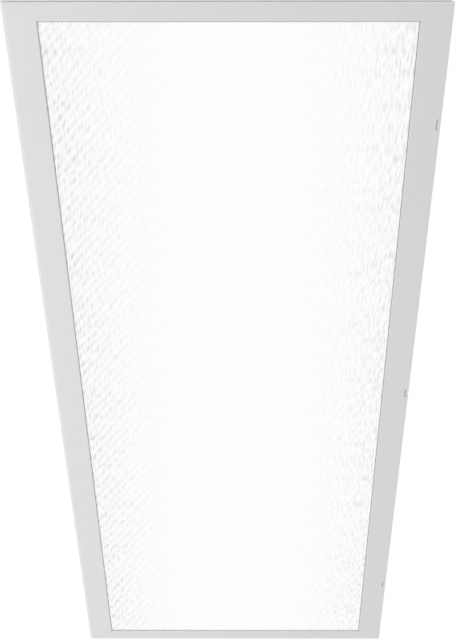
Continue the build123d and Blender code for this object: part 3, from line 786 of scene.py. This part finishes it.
# %% Spot welds between rim and shell
leg_x = 140.8 * mm  # outer faces of the rim's leg
leg_y = 597.8 * mm
weld_z = 7.5 * mm
weld_ys = np.linspace(-560, 560, 15) * mm
weld_xs = np.linspace(-105, 105, 4) * mm
mark = weld_mark()
rim_welds = together(
    *[copies(mark, [(side * leg_x, y, weld_z) for y in weld_ys], (side, 0, 0)) for side in (-1, 1)],
    *[copies(mark, [(x, end * leg_y, weld_z) for x in weld_xs], (0, end, 0)) for end in (-1, 1)],
)
piece("rim_welds", rim_welds, "housing", housing_enamel)

# %% [markdown]
# Four low screws hold the access plate, so that an electrician can take it off. They are the
# highest thing on the light beside the beads and stay below them. Six screws on each side hold
# the wireway cover, and four hold each board. The boxes of those parts say how far in they sit.

# %% Screws of the access plate
access_low, access_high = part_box("access_plate")
screw_inset = 6 * mm
access_places = [
    (x, y, access_high.z)
    for x in (access_low.x + screw_inset, access_high.x - screw_inset)
    for y in (access_low.y + screw_inset * 1.6, access_high.y - screw_inset * 1.6)
]
access_screw = hex_head(2.0 * mm, 0.38 * mm)
piece("access_screws", copies(access_screw, access_places), "housing", bright_steel)

# %% Screws of the wireway cover and of the boards
cover_low, cover_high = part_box("wireway_cover")
cover_flange = 5.5 * mm  # from the cover's edge to the middle of its flange
sheet = 0.8 * mm
end_margin = 40 * mm
cover_rows = np.linspace(cover_low.y + end_margin, cover_high.y - end_margin, 6)
cover_places = [(side * (cover_high.x - cover_flange), y, cover_high.z - sheet)
                for side in (-1, 1) for y in cover_rows]
piece("cover_screws", copies(small_screw, cover_places, (0, 0, -1)), "housing",
      bright_steel)

screw_from_end = 12.5 * mm
board_screw_x = (board_low.x + 6 * mm, board_high.x - 6 * mm)
board_places = [
    (side * x, end * y, board_low.z)
    for side in (-1, 1) for end in (-1, 1)
    for x, y in ((board_screw_x[1], board_low.y + screw_from_end),
                 (board_screw_x[1], board_centre),
                 (board_screw_x[0], board_high.y - screw_from_end),
                 (board_screw_x[1], board_high.y - screw_from_end))
]
piece("board_screws", copies(small_screw, board_places, (0, 0, -1)), "housing",
      bright_steel)

# %% [markdown]
# Where a part slides past, only a low head will do. So the guides of the hanger bars, the latch
# cases and the corner brackets have smaller rivets, in the middle of each box or near its ends.
# The ones on the door ride with the door.

# %% Rivets of the bar guides
small_rivet = dome_head(1.6 * mm, 0.7 * mm, 12)
guide_low, guide_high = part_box("bar_guide_far")
guide_middle = (guide_low.z + guide_high.z) / 2
guide_face = guide_low.y + sheet
piece("guide_rivets", together(
    copies(small_rivet, [(0.0, guide_face, guide_middle)], (0, 1, 0)),
    copies(small_rivet, [(0.0, -guide_face, guide_middle)], (0, -1, 0)),
), "housing", bright_steel)

# %% Rivets of the latches
latch_places = []
for end_name in ("near", "far"):
    case_low, case_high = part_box(f"latch_case_{end_name}")
    case_middle = (case_low.z + case_high.z) / 2
    latch_places += [(case_low.x + sheet, y, case_middle)
                     for y in (case_low.y + 3 * mm, case_high.y - 3 * mm)]
piece("latch_rivets", copies(small_rivet, latch_places, (1, 0, 0)), "door",
      bright_steel)

# %% Rivets of the corner brackets
bracket_low, bracket_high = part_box("corner_bracket_far_right")
bracket_middle = (bracket_low.z + bracket_high.z) / 2
bracket_sheet = 1.2 * mm
from_tip = 8 * mm
along_side, along_end = bracket_low.y + from_tip, bracket_low.x + from_tip
side_face, end_face = bracket_high.x - bracket_sheet, bracket_high.y - bracket_sheet
corners = [(side, end) for side in (-1, 1) for end in (-1, 1)]
corner_rivets = together(
    *[copies(small_rivet, [(side * side_face, end * along_side, bracket_middle)], (-side, 0, 0))
      for side, end in corners],
    *[copies(small_rivet, [(side * along_end, end * end_face, bracket_middle)], (0, -end, 0))
      for side, end in corners],
)
piece("corner_rivets", corner_rivets, "door", bright_steel)

# %% [markdown]
# ## The room
#
# The light needs no ceiling here. A pale floor lies below it, low enough for the door to hang
# open, and it shows only from above, so that it never stands between a low camera and the light.
# A real floor ends somewhere. This one turns into the white of the surround far out, by a soft
# step on the distance, so no edge shows.

# %% Floor
floor_height = -0.40
floor_reach = 9.0


def floor_paint():
    """Pale paint for a camera above the floor, and nothing for any other ray. Far out it turns
    into plain white, so that the floor has no visible end."""
    material = bpy.data.materials.new("floor_paint")
    material.use_nodes = True
    tree = material.node_tree
    tree.nodes.clear()
    paint = node(tree, "ShaderNodeBsdfDiffuse", "BSDF", {"Color": (0.93, 0.93, 0.93, 1)})
    white = node(tree, "ShaderNodeEmission", "Emission", {"Strength": 1.0})
    spot = node(tree, "ShaderNodeTexCoord", "Object")
    away = node(tree, "ShaderNodeVectorMath", "Value", {0: spot}, operation="LENGTH")
    far_out = soft_step(tree, away, 0.8, 2.6)
    surface = node(tree, "ShaderNodeMixShader", "Shader", {0: far_out, 1: paint, 2: white})
    clear = node(tree, "ShaderNodeBsdfTransparent", "BSDF")
    seen = node(tree, "ShaderNodeLightPath", "Is Camera Ray")
    under = node(tree, "ShaderNodeNewGeometry", "Backfacing")
    shows = sums(tree, "MULTIPLY", seen, sums(tree, "SUBTRACT", 1.0, under))
    mixed = node(tree, "ShaderNodeMixShader", "Shader", {0: shows, 1: clear, 2: surface})
    output = tree.nodes.new("ShaderNodeOutputMaterial")
    tree.links.new(mixed, output.inputs["Surface"])
    return material


corner = np.array([[-1, -1], [1, -1], [1, 1], [-1, 1]]) * floor_reach
floor_mesh = bpy.data.meshes.new("floor")
floor_mesh.from_pydata([(x, y, floor_height) for x, y in corner], [], [(0, 1, 2, 3)])
floor_mesh.materials.append(floor_paint())
floor = bpy.data.objects.new("floor", floor_mesh)
bpy.context.scene.collection.objects.link(floor)
print("floor at", floor_height, "m")

# %% [markdown]
# A camera, a mirror or clear plastic sees a plain white world. As a source of light that world
# is brightest near the horizon, as a room with pale walls is, so that upright faces read as
# white and the slopes of the housing get their form. One strength all over would be simpler, but
# then the underside, the sides and the top would all have the same tone.

# %% The white surround
from_below, from_aside, from_above = 0.73, 1.30, 0.45
world = bpy.data.worlds.new("white_room")
bpy.context.scene.world = world
world.use_nodes = True
sky = world.node_tree
sky.nodes.clear()
path = node(sky, "ShaderNodeLightPath", "Is Camera Ray")
shown = sums(sky, "MAXIMUM", path, sums(sky, "MAXIMUM", path.node.outputs["Is Glossy Ray"],
                                        path.node.outputs["Is Transmission Ray"]))
white = (1, 1, 1, 1)
way = node(sky, "ShaderNodeTexCoord", "Generated")
height = node(sky, "ShaderNodeSeparateXYZ", "Z", {"Vector": way})
lower = soft_step(sky, height, -0.50, -0.15, from_below, from_aside)
upper = soft_step(sky, height, 0.15, 0.50, 0.0, from_above - from_aside)
surround = sums(sky, "ADD", lower, upper)
lit = node(sky, "ShaderNodeBackground", "Background", {"Color": white, "Strength": surround})
plain = node(sky, "ShaderNodeBackground", "Background", {"Color": white, "Strength": 1.0})
mixed = node(sky, "ShaderNodeMixShader", "Shader", {0: shown, 1: lit, 2: plain})
output = sky.nodes.new("ShaderNodeOutputWorld")
sky.links.new(mixed, output.inputs["Surface"])
print("surround", from_below, "from below,", from_aside, "from aside,", from_above, "from above")

# %% [markdown]
# In the picture the left rail is a little brighter than the right one. A tilted floor or an
# uneven world could do that, but a lamp is what a photographer would use. It is narrow and lies
# low on the left, under the floor, which only cameras see, and it lights the rail at a slant
# without washing out the upright faces. A larger lamp lights the top.


# %% Two soft lamps
def soft_lamp(name, place, width, length, power):
    """A lamp with its length along Y that faces the middle line of the light. No camera sees
    it."""
    data = bpy.data.lights.new(name, "AREA")
    data.shape = "RECTANGLE"
    data.size = width
    data.size_y = length
    data.energy = power
    lamp = bpy.data.objects.new(name, data)
    bpy.context.scene.collection.objects.link(lamp)
    lamp.location = place
    lamp.rotation_euler = (0, atan2(place[0], place[2]), 0)
    lamp.visible_camera = False
    print(name, power, "watts")


soft_lamp("low_left_lamp", (-0.45, -0.25, -0.50), 0.12, 3.0, 3.4)
soft_lamp("high_lamp", (1.2, -0.6, 1.8), 0.8, 3.0, 28.0)
